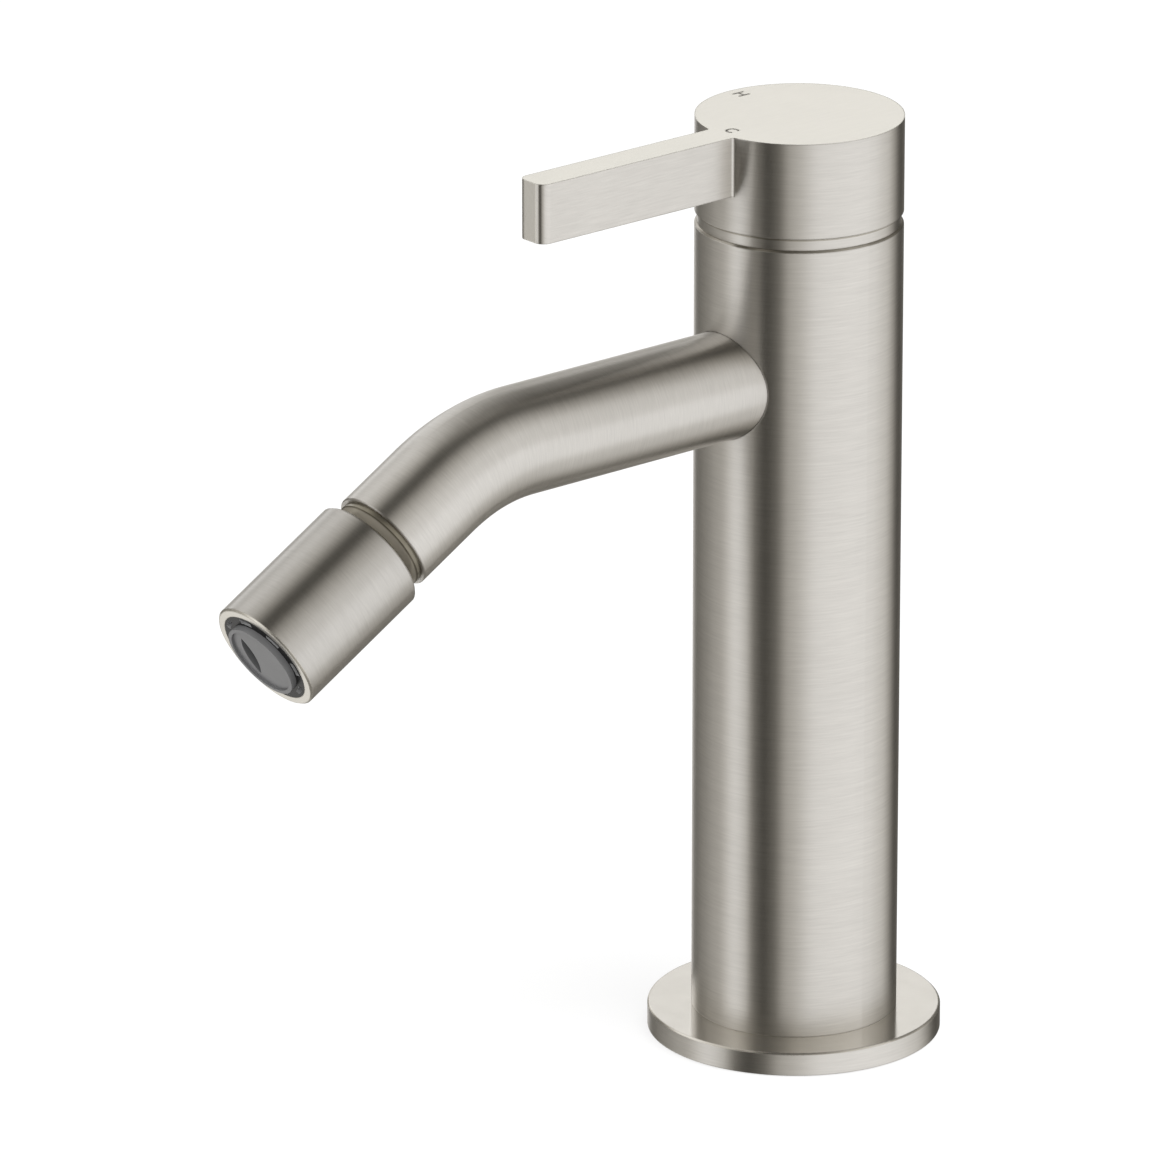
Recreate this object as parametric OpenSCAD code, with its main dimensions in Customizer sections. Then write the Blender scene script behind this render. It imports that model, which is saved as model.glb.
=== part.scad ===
// Single-lever bidet mixer with a turned column, a bent round spout and a swivel nozzle.
// Millimetres. +Z is up, the spout and the closed lever point towards -Y.
// The origin is the centre of the foot, on the surface that the mixer stands on.

/* [Body column] */
// Height of the column above the surface it stands on
body_h = 143.5; // [130:0.5:190]
// Diameter of the column, which the handle's head shares
body_d = 35; // [34:0.5:42]
// Chamfer round the column's top edge
body_edge = 0.35; // [0.1:0.05:0.6]
// Diameter of the foot that passes through the base flange
foot_d = 33; // [31:0.5:33]

/* [Base flange] */
// Diameter of the base flange
base_d = 50; // [49:1:70]
// Thickness of the base flange
base_h = 4; // [3:0.5:8]
// Chamfer round the flange's top edge
base_edge = 0.3; // [0.1:0.05:0.8]
// Distance of the seal ring from the flange's rim
base_seal_inset = 2.5; // [1.5:0.25:3]
// Width of the seal ring
base_seal_w = 2.5; // [1.5:0.25:3]
// Thickness of the seal ring
base_seal_h = 1.5; // [1:0.1:2]

/* [Inlets and fixing] */
// Core diameter of the hose threads in the foot
inlet_thread_d = 9; // [8:0.1:9.4]
// Depth of the hose threads
inlet_thread_depth = 10; // [8:0.5:16]
// Distance of each hose thread to the side of the column's axis
inlet_x = 6.5; // [6:0.1:7.2]
// Distance of the hose threads behind the column's axis
inlet_y = 4.5; // [3.5:0.1:5.5]
// Core diameter of the thread for the fixing stud
stud_thread_d = 6.8; // [5:0.1:8.5]
// Depth of the thread for the fixing stud
stud_thread_depth = 14; // [10:0.5:20]
// Distance of the fixing stud in front of the column's axis
stud_y = 8.5; // [7:0.1:10]

/* [Waterways] */
// Diameter of each inlet waterway
waterway_d = 4.8; // [4:0.1:5]
// Wall between each inlet waterway and the fixed disc's rim
waterway_wall = 1.2; // [0.9:0.1:1.6]
// Angle of the inlet waterways behind the sides, in degrees
waterway_angle = 33; // [28:1:38]
// Diameter of the mixed-water outlet
outlet_d = 6.4; // [5:0.1:6.6]
// Wall between the mixed-water outlet and the fixed disc's rim
outlet_wall = 1.9; // [1.5:0.1:2.5]

/* [Cartridge] */
// Diameter of the cartridge chamber in the column
chamber_d = 25.5; // [25:0.1:26]
// Thickness of the cartridge's base
cart_base_h = 3.5; // [3:0.1:5]
// Gap between the fixed ceramic disc and the housing round it
disc_gap = 0.5; // [0.1:0.1:0.7]
// Thickness of the fixed ceramic disc
lower_disc_h = 3; // [2.4:0.1:4]
// How far the turning ceramic disc's rim stands back from the fixed one's
disc_step = 0.5; // [0.2:0.1:0.7]
// Thickness of the turning ceramic disc
upper_disc_h = 2.6; // [2.4:0.1:4]
// Depth of the mixing hollow in the turning disc
mixing_depth = 1.1; // [0.8:0.1:1.2]
// Thickness of the disc carrier
carrier_h = 2.8; // [2:0.1:4]
// Diameter of the spindle's flange
spindle_flange_d = 16; // [14:0.5:18]
// Thickness of the spindle's flange
spindle_flange_h = 1.8; // [1.4:0.1:3]
// Diameter of the spindle
spindle_d = 8; // [7:0.1:8.4]
// Side of the spindle's square driving tang
tang_w = 6; // [5:0.1:7]
// Thickness of the thrust washer above the spindle's flange
thrust_washer_h = 0.5; // [0.4:0.1:1]
// Thickness of the housing's roof
roof_h = 2.2; // [1.8:0.1:3]
// Wall of the cartridge housing
housing_wall = 1.6; // [1:0.1:1.7]
// Diameter of the housing's neck round the spindle
neck_d = 14; // [12.5:0.1:15]
// Height of the housing's neck above its roof
neck_h = 3.5; // [3.2:0.1:3.6]
// Cord diameter of the spindle's two seals
spindle_seal_cord = 1; // [0.8:0.05:1.1]
// Cord diameter of the seals under the cartridge
port_seal_cord = 1.3; // [1:0.05:1.4]

/* [Cartridge nut and trim ring] */
// Diameter of the cartridge nut's thread
nut_d = 28.8; // [28:0.1:29.6]
// Height of the cartridge nut
nut_h = 3.6; // [3:0.1:5]
// Height of the nut above the column's top
nut_proud = 1.5; // [1:0.1:1.7]
// Distance across the flats of the nut's socket
nut_socket_w = 17; // [16:0.5:19]
// Height of the groove between the column and the head
groove_h = 2.1; // [1.9:0.1:3]
// Diameter of the trim ring in the groove
trim_d = 34.1; // [33:0.05:34.2]

/* [Handle] */
// Height of the round head
head_h = 16.4; // [15:0.1:22]
// Length of the lever from the column's axis
lever_len = 58.5; // [40:0.5:90]
// Width of the lever
lever_w = 6.2; // [5:0.1:10]
// Height of the lever
lever_h = 10.2; // [6:0.1:12]
// Corner radius at the lever's tip
lever_corner = 1.8; // [0.5:0.1:2.4]
// Fillet between the lever and the head
lever_fillet = 0.6; // [0.3:0.1:2]
// Thickness of the head above the spindle's adapter
crown_h = 4; // [3:0.1:4.5]
// Diameter of the spindle's adapter
adapter_d = 13; // [12:0.1:15]
// Diameter of the grub screw that holds the head
grub_d = 5; // [4:0.5:6]
// Length of the grub screw
grub_len = 7.5; // [6:0.5:8]
// Height of the grub screw above the head's lower edge
grub_rise = 7.9; // [7:0.1:8.5]
// Height of the letters on the head
mark_h = 2.3; // [1.5:0.1:3]
// Width of the letter for hot
mark_w = 1.6; // [1:0.1:2.2]
// Stroke width of the letters
mark_stroke = 0.35; // [0.2:0.05:0.5]
// Depth of the letters
mark_depth = 0.15; // [0.1:0.05:0.3]
// Distance of the letters from the axis
mark_r = 14.8; // [12:0.1:15]

/* [Spout] */
// Distance of the spout's axis below the chamber's floor
spout_below = 6.8; // [6.8:0.05:20]
// Diameter of the spout pipe
spout_d = 18.4; // [17.4:0.1:19]
// Wall of the spout pipe
spout_wall = 1.5; // [1:0.1:2]
// Distance from the column's axis to the corner of the spout's centreline
spout_reach = 70.6; // [50:0.1:110]
// Slope of the spout's end below the level, in degrees
spout_decline = 30; // [15:1:45]
// Bend radius of the spout's centreline
spout_bend_r = 35.5; // [25:0.5:50]
// Length of the straight stretch past the bend
spout_tail = 12.8; // [12:0.1:30]
// Depth of the flat-bottomed socket, from the column's axis to its floor
socket_y = 14.5; // [14.4:0.05:14.8]
// Diameter of the thread that holds the spout in the column
union_d = 11.2; // [9:0.1:11.3]
// Length of the spout union inside the pipe
union_len = 10; // [6:0.5:14]
// Bore of the spout union
union_bore_d = 7.2; // [6:0.1:7.4]
// Cord diameter of the seal at the spout's root
root_seal_cord = 1.1; // [1:0.05:1.15]
// Length of the threaded bush in the spout's end
bush_len = 10; // [9:0.5:11]

/* [Ball joint] */
// Diameter of the ball
ball_d = 14; // [13.4:0.1:14.4]
// Diameter of the neck behind the ball
ball_neck_d = 9.2; // [8:0.1:9.4]
// Bore through the ball stud
ball_bore_d = 5.6; // [4:0.1:6]
// Distance across the flats of the hexagon socket in the ball
stud_hex_w = 6; // [5:0.1:6.4]
// Distance from the ball's centre to its flat front
ball_flat = 5.6; // [5:0.1:6]
// Diameter of the polished collar
collar_d = 17; // [15:0.1:17.6]
// Thickness of the collar
collar_h = 2; // [1.5:0.1:2.2]
// Chamfer at the collar's front
collar_edge = 1.2; // [0.8:0.1:1.4]
// Diameter of the stud's thread
stud_shank_d = 12; // [10:0.1:13]
// Length of the stud's thread
stud_shank_len = 7; // [5:0.5:7.5]
// Thickness of the gasket behind the stud
stud_gasket_h = 1; // [0.6:0.1:1.5]
// Cord diameter of the seal on the ball
ball_seal_cord = 1.5; // [1.3:0.05:1.6]

/* [Nozzle] */
// Gap between the pipe's end and the nozzle
nozzle_gap = 3.15; // [3:0.05:4]
// Outer diameter of the nozzle
nozzle_d = 20.5; // [20:0.1:24]
// Length of the nozzle
nozzle_len = 25.35; // [23:0.05:40]
// Bore of the nozzle
nozzle_bore_d = 17.4; // [17:0.1:18]
// Chamfer on the nozzle's two outer edges
nozzle_edge = 0.3; // [0.1:0.05:0.6]
// Distance of the ball's centre inside the nozzle's rear face
ball_inset = 8.05; // [7.8:0.05:8.3]
// Thickness of the nozzle's rear shoulder
shoulder_h = 3; // [2.5:0.1:3.2]
// Opening of the nozzle's rear mouth
mouth_d = 18.8; // [18.4:0.1:19]
// Narrowest opening of the rear shoulder
throat_d = 12.8; // [12.4:0.1:13.2]
// Length of the front ball seat
front_seat_h = 5; // [4.8:0.1:6]
// Length of the threaded retainer
retainer_h = 3; // [2:0.1:4]
// Thickness of the aerator's washer
aerator_washer_h = 1.2; // [0.8:0.1:2]

/* [Aerator] */
// Thickness of the notched ring at the nozzle's mouth
key_ring_h = 1.2; // [0.8:0.1:2]
// Number of windows in the notched ring
key_windows = 8; // [4:1:10]
// Angle that each window takes, in degrees
key_window_sweep = 20; // [10:1:30]
// Width of each window along the radius
key_window_w = 0.85; // [0.5:0.05:1]
// Outer wall of the notched ring beside its windows
key_ring_wall = 0.4; // [0.3:0.05:0.6]
// Thickness of the insert's flange
insert_flange_h = 0.8; // [0.5:0.1:1.5]
// Diameter of the insert's round face
insert_d = 13.8; // [12:0.1:13.9]
// Height of the insert's face above the nozzle's end
insert_proud = 1.1; // [0:0.1:2]
// Width of the lip round the insert's face
insert_lip_w = 0.65; // [0.4:0.05:1]
// Depth of the face inside the lip
insert_recess = 0.4; // [0.2:0.05:0.6]
// Thickness of the insert's face
insert_face_h = 1; // [0.6:0.1:1.4]
// Length of the outlet slot in the insert
slot_len = 8; // [4:0.1:9]
// Width of the outlet slot in the insert
slot_w = 2.5; // [1:0.1:3]
// Distance of the outlet slot to the side of the nozzle's axis
slot_x = 2.75; // [0:0.05:3]
// Wall of the aerator housing
aerator_wall = 1.3; // [1:0.1:2]
// Thickness of the flow regulator
regulator_h = 1.5; // [1:0.1:2]
// Thickness of the aerator's mesh
mesh_h = 0.4; // [0.3:0.1:0.6]
// Spacing of the mesh's openings
mesh_pitch = 1.6; // [1.4:0.1:2.5]
// Width of each opening in the mesh
mesh_hole_w = 0.9; // [0.6:0.1:1]

/* [Hidden] */
$fn = 96;

nickel = "#b9b4a9";
polished_nickel = "#8f897c";
brass = "#b5925a";
ceramic = "#e8e4da";
white_plastic = "#dcdcd6";
grey_plastic = "#86878a";
black_plastic = "#26272a";
rubber = "#1c1c1e";
steel = "#a7abb0";

// Radial clearance between fixed pieces that nest
fit_gap = 0.05;
// Radial clearance between pieces that turn in each other
run_gap = 0.08;
// Gap between flat faces that turn on each other
film_gap = 0.02;
// Clearance between the head and the trim ring below it
trim_gap = 0.15;
// Radial clearance of the cartridge in its chamber
cart_gap = 0.15;
// How far a cut runs past the face that it opens
cut = 1;

// The channel for the seal ring in the flange's underside
base_seal_out_r = base_d / 2 - base_seal_inset;
base_seal_in_r = base_seal_out_r - base_seal_w;

// Levels of the cartridge, from its nut downwards and from its chamber upwards
roof_z = body_h + nut_proud - nut_h;
chamber_z = roof_z - roof_h - thrust_washer_h - spindle_flange_h - carrier_h
    - upper_disc_h - lower_disc_h - cart_base_h - 2 * film_gap;
lower_disc_z = chamber_z + cart_base_h;
upper_disc_z = lower_disc_z + lower_disc_h + film_gap;
carrier_z = upper_disc_z + upper_disc_h;
spindle_flange_z = carrier_z + carrier_h;
thrust_washer_z = spindle_flange_z + spindle_flange_h;
cart_d = chamber_d - 2 * cart_gap;
lower_disc_d = cart_d - 2 * housing_wall - 2 * disc_gap;
upper_disc_d = lower_disc_d - 2 * disc_step;
nut_runout = 0.5;
head_z = body_h + groove_h;
top_z = head_z + head_h;
trim_top = head_z - trim_gap;

// Levels of the head and of what it covers
head_hollow_h = 3.6;
head_hollow_margin = 1.1;
head_hollow_d = nut_d + 2 * head_hollow_margin;
adapter_gap = 0.6;
adapter_top_gap = 0.5;
adapter_cap = 1.2;
adapter_z = roof_z + neck_h + adapter_gap;
adapter_bore_top = top_z - crown_h;
adapter_top = adapter_bore_top - adapter_top_gap;
spindle_top = adapter_top - adapter_cap;
glide_ring_h = 2.8;
glide_ring_w = 1.7;
grub_z = head_z + grub_rise;
grub_cap_len = 2.2;
grub_cap_inset = 0.35;
lever_z = top_z - lever_h;

// Ports through the fixed disc, and the waterways below them
waterway_r = lower_disc_d / 2 - waterway_wall - waterway_d / 2;
waterway_x = waterway_r * cos(waterway_angle);
waterway_y = waterway_r * sin(waterway_angle);
outlet_y = lower_disc_d / 2 - outlet_wall - outlet_d / 2;

// Keys and dowels of the cartridge, each pair an angle in front of the sides
dowel_d = 2;
dowel_h = 1.4;
dowel_wall = 1.5;
dowel_angle = 27;
dowel_r = cart_d / 2 - dowel_wall - dowel_d / 2;
dowel_x = dowel_r * cos(dowel_angle);
dowel_y = dowel_r * sin(dowel_angle);
lug_d = 1.8;
lug_h = 1.2;
lug_wall = 0.8;
lug_angle = 21;
lug_r = lower_disc_d / 2 - lug_wall - lug_d / 2;
lug_x = lug_r * cos(lug_angle);
lug_y = lug_r * sin(lug_angle);
carrier_lug_x = upper_disc_d / 2 - lug_wall - lug_d / 2;
carrier_inset = 0.2;
carrier_d = upper_disc_d - 2 * carrier_inset;
mixing_start = -185;
mixing_sweep = 185;
mixing_in_r = 2;
mixing_wall = 1.4;
mixing_out_r = upper_disc_d / 2 - mixing_wall;
port_seal_gap = 0.1;
spindle_seal_low = 1.6;
spindle_seal_high = 4;

// Spout, from its root in the column to its end face
spout_z = chamber_z - spout_below;
spout_bore_d = spout_d - 2 * spout_wall;
bend_tangent = spout_bend_r * tan(spout_decline / 2);
bend_y = spout_reach - bend_tangent;
tail_start = bend_tangent;
spout_end = tail_start + spout_tail;
port_thread_y = 8.5;
port_end_y = 1.5;
root_seal_gap = 0.15;
root_seal_d = union_d + root_seal_cord + 2 * root_seal_gap;
tube_edge = 0.2;
bend_swell = 0.005;
bush_setback = 1;
bush_bore_d = ball_bore_d + 2 * bush_setback;

// Ball joint and nozzle, measured along the spout's sloping axis from the ball's centre
ball_s = spout_end + nozzle_gap + ball_inset;
pipe_face = -nozzle_gap - ball_inset;
collar_front = pipe_face + collar_h;
rear_face = -ball_inset;
shoulder_face = rear_face + shoulder_h;
front_face = rear_face + nozzle_len;
seal_room = 0.35;
seat_split = ball_seal_cord / 2 + seal_room;
seat_d = nozzle_bore_d - 2 * fit_gap;
rear_seat_hole_d = 11.4;
front_seat_hole_d = 8.8;
front_seat_end = seat_split + front_seat_h;
retainer_end = front_seat_end + retainer_h;
washer_end = retainer_end + aerator_washer_h;
key_ring_z = front_face - key_ring_h;
insert_flange_z = key_ring_z - insert_flange_h;
aerator_bore_d = seat_d - 2 * aerator_wall;
regulator_ledge_w = 1;
regulator_ledge_h = 0.8;
regulator_z = washer_end + regulator_ledge_h;
mesh_gap = 0.5;
mesh_z = regulator_z + regulator_h + mesh_gap;

// A turned piece: its half section spun round the Z axis
module turned(section) {
    rotate_extrude() polygon(section);
}

module ring(outer_d, inner_d, h) {
    turned([[inner_d / 2, 0], [outer_d / 2, 0], [outer_d / 2, h], [inner_d / 2, h]]);
}

module seal_ring(centre_d, cord_d) {
    rotate_extrude() translate([centre_d / 2, 0]) circle(d = cord_d, $fn = 32);
}

module ring_section(outer_d, inner_d) {
    difference() {
        circle(d = outer_d);
        circle(d = inner_d);
    }
}

// Puts a child at the left and at the right inlet
module at_both_sides(x, y) {
    for (side = [-1, 1]) translate([side * x, y, 0]) children();
}

// Puts a child on the level part of the spout, its Z axis towards the spout's bend
module on_spout(y) {
    translate([0, -y, spout_z]) rotate([90, 0, 0]) children();
}

// Puts a child on the sloping part, its Z axis towards the nozzle's mouth
module on_outlet(s) {
    translate([0, -spout_reach, spout_z]) rotate([90 + spout_decline, 0, 0])
        translate([0, 0, s]) children();
}

module body() {
    color(nickel) difference() {
        turned([[0, 0], [foot_d / 2, 0], [foot_d / 2, base_h], [body_d / 2, base_h],
            [body_d / 2, body_h - body_edge], [body_d / 2 - body_edge, body_h],
            [nut_d / 2 + fit_gap, body_h], [nut_d / 2 + fit_gap, roof_z - nut_runout],
            [chamber_d / 2, roof_z - nut_runout], [chamber_d / 2, chamber_z], [0, chamber_z]]);
        at_both_sides(inlet_x, inlet_y)
            translate([0, 0, -cut]) cylinder(h = inlet_thread_depth + cut, d = inlet_thread_d);
        at_both_sides(waterway_x, waterway_y)
            translate([0, 0, inlet_thread_depth - cut])
                cylinder(h = chamber_z - inlet_thread_depth + 2 * cut, d = waterway_d);
        translate([0, -stud_y, -cut]) cylinder(h = stud_thread_depth + cut, d = stud_thread_d);
        at_both_sides(dowel_x, -dowel_y)
            translate([0, 0, chamber_z - dowel_h - fit_gap])
                cylinder(h = dowel_h + fit_gap + cut, d = dowel_d + 2 * fit_gap);
        translate([0, -outlet_y, spout_z]) cylinder(h = spout_below + cut, d = outlet_d);
        on_spout(port_end_y) cylinder(h = port_thread_y - port_end_y + cut, d = union_bore_d);
        on_spout(port_thread_y)
            cylinder(h = socket_y - port_thread_y + cut, d = union_d + 2 * fit_gap);
        on_spout(socket_y - root_seal_cord)
            cylinder(h = root_seal_cord + cut, d = root_seal_d + root_seal_cord + 2 * fit_gap);
        on_spout(socket_y) cylinder(h = body_d, d = spout_d + 2 * fit_gap);
    }
}

module base_flange() {
    color(nickel) turned([[foot_d / 2 + fit_gap, 0], [base_seal_in_r, 0],
        [base_seal_in_r, base_seal_h], [base_seal_out_r, base_seal_h], [base_seal_out_r, 0],
        [base_d / 2, 0], [base_d / 2, base_h - base_edge], [base_d / 2 - base_edge, base_h],
        [foot_d / 2 + fit_gap, base_h]]);
}

module base_seal() {
    color(rubber)
        ring(2 * (base_seal_out_r - fit_gap), 2 * (base_seal_in_r + fit_gap), base_seal_h);
}

module cartridge_base() {
    color(white_plastic) difference() {
        translate([0, 0, chamber_z]) union() {
            cylinder(h = cart_base_h, d = cart_d);
            at_both_sides(dowel_x, -dowel_y)
                translate([0, 0, -dowel_h]) cylinder(h = dowel_h + cut, d = dowel_d);
            at_both_sides(lug_x, -lug_y) cylinder(h = cart_base_h + lug_h, d = lug_d);
        }
        at_both_sides(waterway_x, waterway_y) port_hole(waterway_d);
        translate([0, -outlet_y, 0]) port_hole(outlet_d);
    }
}

// A port through the cartridge's base, with the recess for its seal
module port_hole(d) {
    translate([0, 0, chamber_z - cut]) cylinder(h = cart_base_h + 2 * cut, d = d);
    translate([0, 0, chamber_z - cut])
        cylinder(h = port_seal_cord + cut, d = d + 2 * port_seal_cord + 2 * port_seal_gap);
}

module port_seals() {
    seal_z = chamber_z + port_seal_cord / 2;
    color(rubber) {
        at_both_sides(waterway_x, waterway_y)
            translate([0, 0, seal_z]) seal_ring(waterway_d + port_seal_cord, port_seal_cord);
        translate([0, -outlet_y, seal_z]) seal_ring(outlet_d + port_seal_cord, port_seal_cord);
    }
}

module lower_ceramic_disc() {
    color(ceramic) translate([0, 0, lower_disc_z]) difference() {
        cylinder(h = lower_disc_h, d = lower_disc_d);
        at_both_sides(waterway_x, waterway_y)
            translate([0, 0, -cut]) cylinder(h = lower_disc_h + 2 * cut, d = waterway_d);
        translate([0, -outlet_y, -cut]) cylinder(h = lower_disc_h + 2 * cut, d = outlet_d);
        at_both_sides(lug_x, -lug_y)
            translate([0, 0, -cut]) cylinder(h = lug_h + fit_gap + cut, d = lug_d + 2 * fit_gap);
    }
}

module cartridge_housing() {
    spindle_hole_r = spindle_d / 2 + run_gap;
    inner_r = cart_d / 2 - housing_wall;
    roof_under = roof_z - roof_h;
    color(white_plastic) turned([[inner_r, lower_disc_z], [cart_d / 2, lower_disc_z],
        [cart_d / 2, roof_z], [neck_d / 2, roof_z], [neck_d / 2, roof_z + neck_h],
        [spindle_hole_r, roof_z + neck_h], [spindle_hole_r, roof_under], [inner_r, roof_under]]);
}

module cartridge_nut() {
    color(brass) translate([0, 0, roof_z]) difference() {
        cylinder(h = nut_h, d = nut_d);
        translate([0, 0, -cut])
            cylinder(h = nut_h + 2 * cut, d = nut_socket_w / cos(30), $fn = 6);
    }
}

module trim_ring() {
    color(nickel) translate([0, 0, body_h])
        ring(trim_d, nut_d + 2 * fit_gap, trim_top - body_h);
}

module glide_ring() {
    glide_d = head_hollow_d - 2 * run_gap;
    color(white_plastic) translate([0, 0, trim_top])
        ring(glide_d, glide_d - 2 * glide_ring_w, glide_ring_h);
}

// The pipe, seen from the centre of its bend: the bend turns about Z, and the level stretch
// ends where the bend starts, on the X axis
module spout_tube() {
    color(nickel) translate([0, -bend_y, spout_z - spout_bend_r]) rotate([0, -90, 180]) union() {
        translate([spout_bend_r, 0, 0]) rotate([90, 0, 0])
            linear_extrude(bend_y - socket_y) ring_section(spout_d, spout_bore_d);
        spout_bend();
        rotate([0, 0, spout_decline]) translate([spout_bend_r, 0, 0]) rotate([-90, 0, 0])
            turned([[spout_bore_d / 2, 0], [spout_d / 2, 0], [spout_d / 2, spout_tail - tube_edge],
                [spout_d / 2 - tube_edge, spout_tail], [spout_bore_d / 2, spout_tail]]);
    }
}

// The bend, swept too far at both ends and then trimmed flush with the straight stretches.
// Its wall is a hair thicker than theirs, so that the three join in clean steps
module spout_bend() {
    sweep_over = 5;
    trim_w = spout_bend_r + spout_d;
    difference() {
        rotate([0, 0, -sweep_over]) rotate_extrude(angle = spout_decline + 2 * sweep_over)
            translate([spout_bend_r, 0])
                ring_section(spout_d + 2 * bend_swell, spout_bore_d - 2 * bend_swell);
        translate([0, -trim_w, -spout_d]) cube([trim_w, trim_w, 2 * spout_d]);
        rotate([0, 0, spout_decline]) translate([0, 0, -spout_d])
            cube([trim_w, trim_w, 2 * spout_d]);
    }
}

module spout_union() {
    shoulder = socket_y - port_thread_y;
    plug_r = spout_bore_d / 2 - fit_gap;
    color(brass) on_spout(port_thread_y) turned([[union_bore_d / 2, 0], [union_d / 2, 0],
        [union_d / 2, shoulder], [plug_r, shoulder], [plug_r, shoulder + union_len],
        [union_bore_d / 2, shoulder + union_len]]);
}

module spout_root_seal() {
    color(rubber) on_spout(socket_y - root_seal_cord / 2)
        seal_ring(root_seal_d, root_seal_cord);
}

module outlet_bush() {
    gasket_seat = bush_len - stud_shank_len - stud_gasket_h;
    outer_r = spout_bore_d / 2 - fit_gap;
    thread_r = stud_shank_d / 2 + fit_gap;
    color(brass) on_outlet(spout_end - bush_len) turned([[bush_bore_d / 2, 0], [outer_r, 0],
        [outer_r, bush_len], [thread_r, bush_len], [thread_r, gasket_seat],
        [bush_bore_d / 2, gasket_seat]]);
}

module stud_gasket() {
    color(rubber) on_outlet(spout_end - stud_shank_len - stud_gasket_h)
        ring(stud_shank_d - 2 * fit_gap, bush_bore_d, stud_gasket_h);
}

module upper_ceramic_disc() {
    color(ceramic) translate([0, 0, upper_disc_z]) difference() {
        cylinder(h = upper_disc_h, d = upper_disc_d);
        rotate([0, 0, mixing_start]) rotate_extrude(angle = mixing_sweep)
            translate([mixing_in_r, -cut]) square([mixing_out_r - mixing_in_r, mixing_depth + cut]);
        at_both_sides(carrier_lug_x, 0) translate([0, 0, upper_disc_h - lug_h - fit_gap])
            cylinder(h = lug_h + fit_gap + cut, d = lug_d + 2 * fit_gap);
    }
}

module disc_carrier() {
    hole_w = tang_w + 2 * fit_gap;
    color(white_plastic) difference() {
        union() {
            translate([0, 0, carrier_z]) cylinder(h = carrier_h, d = carrier_d);
            at_both_sides(carrier_lug_x, 0)
                translate([0, 0, carrier_z - lug_h]) cylinder(h = lug_h + carrier_h, d = lug_d);
        }
        translate([-hole_w / 2, -hole_w / 2, carrier_z - cut])
            cube([hole_w, hole_w, carrier_h + 2 * cut]);
    }
}

module spindle() {
    shaft_r = spindle_d / 2;
    groove_r = shaft_r - spindle_seal_cord + run_gap;
    groove_half = spindle_seal_cord / 2 + fit_gap;
    low = roof_z - roof_h + spindle_seal_low;
    high = roof_z - roof_h + spindle_seal_high;
    color(brass) union() {
        turned([[0, spindle_flange_z], [spindle_flange_d / 2, spindle_flange_z],
            [spindle_flange_d / 2, thrust_washer_z], [shaft_r, thrust_washer_z],
            [shaft_r, low - groove_half], [groove_r, low - groove_half],
            [groove_r, low + groove_half], [shaft_r, low + groove_half],
            [shaft_r, high - groove_half], [groove_r, high - groove_half],
            [groove_r, high + groove_half], [shaft_r, high + groove_half],
            [shaft_r, spindle_top], [0, spindle_top]]);
        translate([-tang_w / 2, -tang_w / 2, carrier_z])
            cube([tang_w, tang_w, carrier_h + spindle_flange_h / 2]);
    }
}

module spindle_seals() {
    color(rubber) for (rise = [spindle_seal_low, spindle_seal_high])
        translate([0, 0, roof_z - roof_h + rise])
            seal_ring(spindle_d - spindle_seal_cord + run_gap, spindle_seal_cord - run_gap);
}

module thrust_washer() {
    color(white_plastic) translate([0, 0, thrust_washer_z])
        ring(spindle_flange_d, spindle_d + 2 * fit_gap, thrust_washer_h);
}

module spline_adapter() {
    color(white_plastic) turned([[spindle_d / 2 + fit_gap, adapter_z], [adapter_d / 2, adapter_z],
        [adapter_d / 2, adapter_top], [0, adapter_top], [0, spindle_top],
        [spindle_d / 2 + fit_gap, spindle_top]]);
}

// The lever seen from above, with round corners at its tip and a fillet on each side of its root
module lever_outline() {
    half = lever_w / 2;
    fillet_x = half + lever_fillet;
    fillet_y = sqrt(pow(body_d / 2 + lever_fillet, 2) - pow(fillet_x, 2));
    root_y = fillet_y * body_d / (body_d + 2 * lever_fillet);
    difference() {
        translate([-half, -lever_len]) square([lever_w, lever_len]);
        for (side = [-1, 1]) difference() {
            translate([side * half - lever_corner, -lever_len - lever_corner])
                square(2 * lever_corner);
            translate([side * (half - lever_corner), -lever_len + lever_corner])
                circle(r = lever_corner);
        }
    }
    for (side = [-1, 1]) difference() {
        polygon([[0, -root_y], [0, -fillet_y], [side * fillet_x, -fillet_y],
            [side * fillet_x * body_d / (body_d + 2 * lever_fillet), -root_y]]);
        translate([side * fillet_x, -fillet_y]) circle(r = lever_fillet);
    }
}

// The letter for cold, open towards +X
module mark_cold() {
    rotate([0, 0, 45]) rotate_extrude(angle = 270)
        translate([mark_h / 2 - mark_stroke, 0]) square([mark_stroke, mark_depth + cut]);
}

// The letter for hot: two uprights and a bar
module mark_hot() {
    for (side = [-1, 1]) translate([(side * mark_w - mark_stroke) / 2, -mark_h / 2, 0])
        cube([mark_stroke, mark_h, mark_depth + cut]);
    translate([-mark_w / 2, -mark_stroke / 2, 0]) cube([mark_w, mark_stroke, mark_depth + cut]);
}

module handle() {
    color(nickel) difference() {
        union() {
            translate([0, 0, head_z]) cylinder(h = head_h, d = body_d);
            translate([0, 0, lever_z]) linear_extrude(lever_h) lever_outline();
        }
        translate([0, 0, head_z - cut]) cylinder(h = head_hollow_h + cut, d = head_hollow_d);
        translate([0, 0, head_z])
            cylinder(h = adapter_bore_top - head_z, d = adapter_d + 2 * fit_gap);
        translate([0, 0, grub_z]) rotate([-90, 0, 0]) cylinder(h = body_d, d = grub_d + 2 * fit_gap);
        translate([0, -mark_r, top_z - mark_depth]) mark_cold();
        translate([-mark_r, 0, top_z - mark_depth]) mark_hot();
    }
}

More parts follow.
